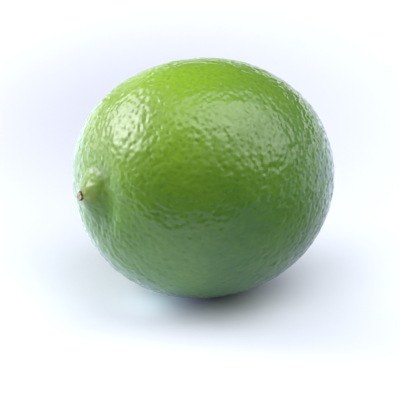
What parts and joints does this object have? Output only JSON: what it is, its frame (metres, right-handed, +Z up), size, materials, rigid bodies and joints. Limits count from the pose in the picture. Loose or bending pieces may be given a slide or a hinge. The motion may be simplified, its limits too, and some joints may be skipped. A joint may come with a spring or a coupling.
{
  "type": "lime",
  "caption": "Whole green lime as picked, lying on its side, with a low nipple at the blossom end and a calyx button at the stem end.",
  "frame": {"origin": "on the surface that the fruit rests on, under the middle of its bounding box", "axes": "+Z up; +X towards the stem end, level, with the fruit's own axis raised 3 degrees at the blossom end, which points to -X"},
  "size_m": [0.0592, 0.0528, 0.0509],
  "materials": {
    "rind": "glossy waxed citrus rind, green, covered in fine oil gland pits"
  },
  "bodies": {
    "root": {"lime": "rind"}
  },
  "joints": []
}
